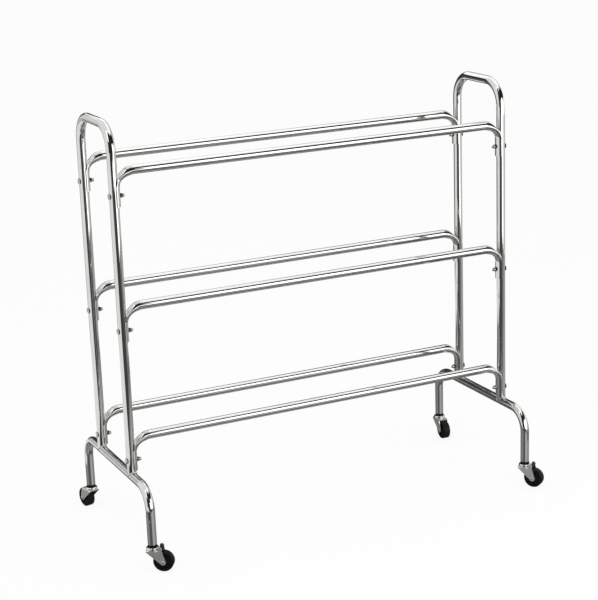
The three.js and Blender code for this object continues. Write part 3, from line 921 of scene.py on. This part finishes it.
def build_frame():
    """Both ends and the six rails between them."""
    meshes = hoop_mesh(), base_tube_mesh(), bead_mesh(), bolt_mesh(), nut_mesh()
    rail = rail_mesh()
    middle = hoops_middle()
    for end, side_x in ENDS:
        build_end(end, side_x, *meshes)
    for row, side_y in ROWS:
        for level, tier in enumerate(TIERS):
            place = Matrix.Translation((middle.x, middle.y + side_y * UPRIGHT_Y, tier_z(level)))
            tail = f"{tier}_{row}"
            add_piece(f"long_rail_{tail}", rail, place, "frame", "chrome_tube", [f"rail_{tail}"])


def build_casters():
    """The four casters, which are alike but for the foot brake on the front two."""
    socket, stem, cup, wheel, axle = socket_mesh(), stem_mesh(), cup_mesh(), wheel_mesh(), axle_mesh()
    rim, ears, brake = rim_mesh(), ears_mesh(), brake_mesh()
    forks = {braked: fork_mesh(braked) for braked in (False, True)}
    for name in CASTERS:
        place = caster_place(name)
        axle_place = place @ AXLE_PLACE
        braked = name.startswith("front")
        on_fork, on_wheel, on_brake = f"fork_{name}", f"wheel_{name}", f"brake_{name}"
        add_piece(f"socket_{name}", socket, place, "frame", "black_plastic", [f"caster_socket_{name}"])
        add_piece(f"stem_{name}", stem, place, "frame", "zinc_steel", [f"caster_stem_{name}"])
        add_piece(f"race_cup_{name}", cup, place, "frame", "zinc_steel", [f"caster_cup_{name}"])
        fork = add_piece(
            f"pressed_fork_{name}", forks[braked], place, on_fork, "zinc_steel", [f"caster_fork_{name}"]
        )
        bevel_edges(fork, FORK_ROUNDING)
        add_piece(f"race_rim_{name}", rim, place, on_fork, "zinc_steel")
        add_piece(f"rivet_{name}", axle, axle_place, on_fork, "zinc_steel", [f"caster_axle_{name}"])
        add_piece(f"tyre_{name}", wheel, axle_place, on_wheel, "wheel_rubber", [f"caster_wheel_{name}"])
        if braked:
            lugs = add_piece(f"brake_lugs_{name}", ears, place, on_fork, "zinc_steel")
            bevel_edges(lugs, FORK_ROUNDING)
            lever = add_piece(
                f"foot_brake_{name}", brake, place, on_brake, "black_plastic", [f"brake_lever_{name}"]
            )
            bevel_edges(lever, FORK_ROUNDING)


# Materials


def new_material(name):
    """A material with its node tree, its shader and the coordinates of the object in metres."""
    material = bpy.data.materials.new(name)
    material.use_nodes = True
    tree = material.node_tree
    coords = tree.nodes.new("ShaderNodeTexCoord")
    return material, tree, tree.nodes["Principled BSDF"], coords.outputs["Object"]


def noise(tree, coords, scale, detail):
    """A noise texture's value."""
    texture = tree.nodes.new("ShaderNodeTexNoise")
    texture.inputs["Scale"].default_value = scale
    texture.inputs["Detail"].default_value = detail
    tree.links.new(coords, texture.inputs["Vector"])
    return texture.outputs["Fac"]


def ranged(tree, value, low, high):
    """Turns the middle range of a noise into a number between two limits."""
    remap = tree.nodes.new("ShaderNodeMapRange")
    remap.inputs["From Min"].default_value = NOISE_LOW
    remap.inputs["From Max"].default_value = NOISE_HIGH
    remap.inputs["To Min"].default_value = low
    remap.inputs["To Max"].default_value = high
    tree.links.new(value, remap.inputs["Value"])
    return remap.outputs["Result"]


def tinted(tree, value, dark, light):
    """A colour between two tints, by the value of a noise."""
    mix = tree.nodes.new("ShaderNodeMix")
    mix.data_type = "RGBA"
    mix.inputs["A"].default_value = (*dark, 1)
    mix.inputs["B"].default_value = (*light, 1)
    tree.links.new(ranged(tree, value, 0, 1), mix.inputs["Factor"])
    return mix.outputs["Result"]


def bumped(tree, value, shader, strength, depth):
    """Gives the shader a fine relief of a depth in millimetres."""
    bump = tree.nodes.new("ShaderNodeBump")
    bump.inputs["Strength"].default_value = strength
    bump.inputs["Distance"].default_value = depth * MM
    tree.links.new(value, bump.inputs["Height"])
    tree.links.new(bump.outputs["Normal"], shader.inputs["Normal"])


def metal(name, dark, light, rough_low, rough_high, grain_scale, grain_depth, metallic):
    """Plated steel: faint cloudy tint, handling marks in the gloss and a fine polishing grain."""
    material, tree, shader, coords = new_material(name)
    shader.inputs["Metallic"].default_value = metallic
    clouds = noise(tree, coords, *CLOUD_NOISE)
    tree.links.new(tinted(tree, clouds, dark, light), shader.inputs["Base Color"])
    smears = noise(tree, coords, *SMEAR_NOISE)
    tree.links.new(ranged(tree, smears, rough_low, rough_high), shader.inputs["Roughness"])
    grain = noise(tree, coords, grain_scale, POLISH_DETAIL)
    bumped(tree, grain, shader, POLISH_BUMP, grain_depth)
    return material


def moulding(name, dark, light, rough_low, rough_high, grain_scale, grain_depth):
    """Black moulded rubber or plastic: dusty patches over a fine grain."""
    material, tree, shader, coords = new_material(name)
    shader.inputs["Specular IOR Level"].default_value = MOULD_SPECULAR
    dust = noise(tree, coords, *DUST_NOISE)
    tree.links.new(tinted(tree, dust, dark, light), shader.inputs["Base Color"])
    tree.links.new(ranged(tree, dust, rough_high, rough_low), shader.inputs["Roughness"])
    grain = noise(tree, coords, grain_scale, MOULD_DETAIL)
    bumped(tree, grain, shader, MOULD_BUMP, grain_depth)
    return material


def paint():
    """Gives each piece the finish that its name starts with, or else that of its slot."""
    finishes = {key: metal(*values) for key, values in METALS.items()}
    finishes.update({key: moulding(*values) for key, values in MOULDINGS.items()})
    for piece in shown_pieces():
        if piece.get("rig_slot"):
            kind = piece.name.split("_")[0]
            piece.data.materials.clear()
            piece.data.materials.append(finishes.get(kind, finishes[piece["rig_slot"]]))


# Studio


def seen_directly(tree):
    """One for rays that show the background: the camera's, and mirrored or refracted ones."""
    path = tree.nodes.new("ShaderNodeLightPath")
    total = path.outputs["Is Camera Ray"]
    for name in ("Is Glossy Ray", "Is Transmission Ray"):
        either = tree.nodes.new("ShaderNodeMath")
        either.operation = "MAXIMUM"
        tree.links.new(total, either.inputs[0])
        tree.links.new(path.outputs[name], either.inputs[1])
        total = either.outputs["Value"]
    return total


def cleared_tree(owner):
    """The emptied node tree of a material or a world."""
    owner.use_nodes = True
    owner.node_tree.nodes.clear()
    return owner.node_tree


def mixed_surface(tree, output_kind, first, second):
    """Shows a mix of two shaders, and returns the socket for the second one's share."""
    mix, output = tree.nodes.new("ShaderNodeMixShader"), tree.nodes.new(output_kind)
    tree.links.new(first, mix.inputs[1])
    tree.links.new(second, mix.inputs[2])
    tree.links.new(mix.outputs["Shader"], output.inputs["Surface"])
    return mix.inputs["Fac"]


def build_world():
    """A surround that is white where it is seen, and lights the cart at its own level."""
    world = bpy.data.worlds.new("studio")
    bpy.context.scene.world = world
    tree = cleared_tree(world)
    ambient = tree.nodes.new("ShaderNodeBackground")
    ambient.inputs["Color"].default_value = WHITE
    ambient.inputs["Strength"].default_value = WORLD_LEVEL
    shown = tree.nodes.new("ShaderNodeBackground")
    shown.inputs["Color"].default_value = WHITE
    share = mixed_surface(tree, "ShaderNodeOutputWorld", ambient.outputs[0], shown.outputs[0])
    tree.links.new(seen_directly(tree), share)


def floor_material():
    """Pale floor that shows as white and keeps a faint shadow of the cart."""
    material = bpy.data.materials.new("floor")
    tree = cleared_tree(material)
    plain, white = tree.nodes.new("ShaderNodeBsdfDiffuse"), tree.nodes.new("ShaderNodeEmission")
    plain.inputs["Color"].default_value = FLOOR_COLOR
    scaled = tree.nodes.new("ShaderNodeMath")
    scaled.operation = "MULTIPLY"
    scaled.inputs[1].default_value = FLOOR_WHITE_SHARE
    tree.links.new(seen_directly(tree), scaled.inputs[0])
    share = mixed_surface(tree, "ShaderNodeOutputMaterial", plain.outputs[0], white.outputs[0])
    tree.links.new(scaled.outputs["Value"], share)
    return material


def painted_reflection_material(name, tone, gloss_share):
    """A painted reflection: an even emitted tone, with a share of the card that mirrors what stands
    round it.
    """
    material = bpy.data.materials.new(name)
    tree = cleared_tree(material)
    glow, gloss = tree.nodes.new("ShaderNodeEmission"), tree.nodes.new("ShaderNodeBsdfGlossy")
    glow.inputs["Color"].default_value = (tone, tone, tone, 1)
    gloss.inputs["Roughness"].default_value = CARD_ROUGHNESS
    share = mixed_surface(tree, "ShaderNodeOutputMaterial", glow.outputs[0], gloss.outputs[0])
    share.default_value = gloss_share
    return material


def staged(name, verts, faces, material):
    """A part of the studio, which is no part of the cart."""
    mesh = bpy.data.meshes.new(name)
    mesh.from_pydata(verts, [], faces)
    mesh.materials.append(material)
    thing = linked(name, mesh)
    return thing


def add_painted_reflection(name, shell, tone, gloss_share=0):
    """A painted reflection: a card of emitted tone that only shows in reflections, and neither lights
    nor shades the cart.
    """
    thing = staged(name, *shell, painted_reflection_material(name, tone, gloss_share))
    thing.visible_camera = False
    thing.visible_diffuse = False
    thing.visible_transmission = False
    thing.visible_shadow = False


def add_soft_box(name, place, width, height, strength):
    """An area lamp of the given brightness, facing the middle of the cart."""
    light = bpy.data.lights.new(name, "AREA")
    light.shape = "RECTANGLE"
    light.size = width
    light.size_y = height
    light.energy = strength * width * height * math.pi
    lamp = linked(name, light)
    lamp.location = place
    lamp.rotation_mode = "QUATERNION"
    lamp.rotation_quaternion = (Vector(STUDIO_TARGET) - place).to_track_quat("-Z", "Y")


def bearing(degrees, distance, height):
    """A place round the cart: zero degrees is towards the camera, more is to the picture's right."""
    turn = math.radians(degrees) - CAMERA_YAW
    return Vector((distance * math.sin(turn), -distance * math.cos(turn), height))


def strip(start, end, *edges):
    """A curved strip of faces between two bearings; each edge is a (distance, height) pair."""
    turns = [start + (end - start) * k / CARD_STEPS for k in range(CARD_STEPS + 1)]
    verts = [bearing(turn, distance, height) for turn in turns for distance, height in edges]
    return verts, [(2 * k, 2 * k + 1, 2 * k + 3, 2 * k + 2) for k in range(CARD_STEPS)]


def level_sheet(left, right, front, rear, height):
    """One flat face at a height."""
    return [(x, y, height) for x, y in rectangle(left, right, front, rear)], [(0, 1, 2, 3)]


def build_studio():
    """The surround, the floor, the painted reflection cards and the lamps."""
    build_world()
    floor = level_sheet(-FLOOR_HALF, FLOOR_HALF, -FLOOR_HALF, FLOOR_HALF, 0)
    staged("floor", *floor, floor_material())
    for name, start, end, near, far, tone, gloss_share in FLOOR_PAINTED_REFLECTIONS:
        add_painted_reflection(name, strip(start, end, (near, CARD_LIFT), (far, CARD_LIFT)), tone, gloss_share)
    for name, start, end, distance, low, high, tone in STANDING_PAINTED_REFLECTIONS:
        add_painted_reflection(name, strip(start, end, (distance, low), (distance, high)), tone)
    for name, left, right, front, rear, height, tone in CEILING_PAINTED_REFLECTIONS:
        add_painted_reflection(name, level_sheet(left, right, front, rear, height), tone)
    for name, turn, distance, height, width, tall, strength in SOFT_BOXES:
        add_soft_box(name, bearing(turn, distance, height), width, tall, strength)


def build_camera():
    """The camera of the photograph, level but for its roll, aimed down at the cart."""
    data = bpy.data.cameras.new("camera")
    camera = linked("camera", data)
    bpy.context.scene.camera = camera
    data.lens = CAMERA_FOCAL_PX * data.sensor_width / max(IMAGE_SIZE)
    data.clip_end = CAMERA_RANGE
    middle = hoops_middle()
    place_x, place_y, place_z = CAMERA_PLACE
    place = Matrix.Translation((middle.x + place_x, middle.y + place_y, place_z))
    aim = Matrix.Rotation(-CAMERA_YAW, 4, "Z") @ Matrix.Rotation(TAU / 4 - CAMERA_PITCH, 4, "X")
    camera.matrix_world = metres(place @ aim @ Matrix.Rotation(CAMERA_ROLL, 4, "Z"))


bpy.context.scene.view_settings.view_transform = "Standard"
build_frame()
build_casters()
paint()
build_studio()
build_camera()
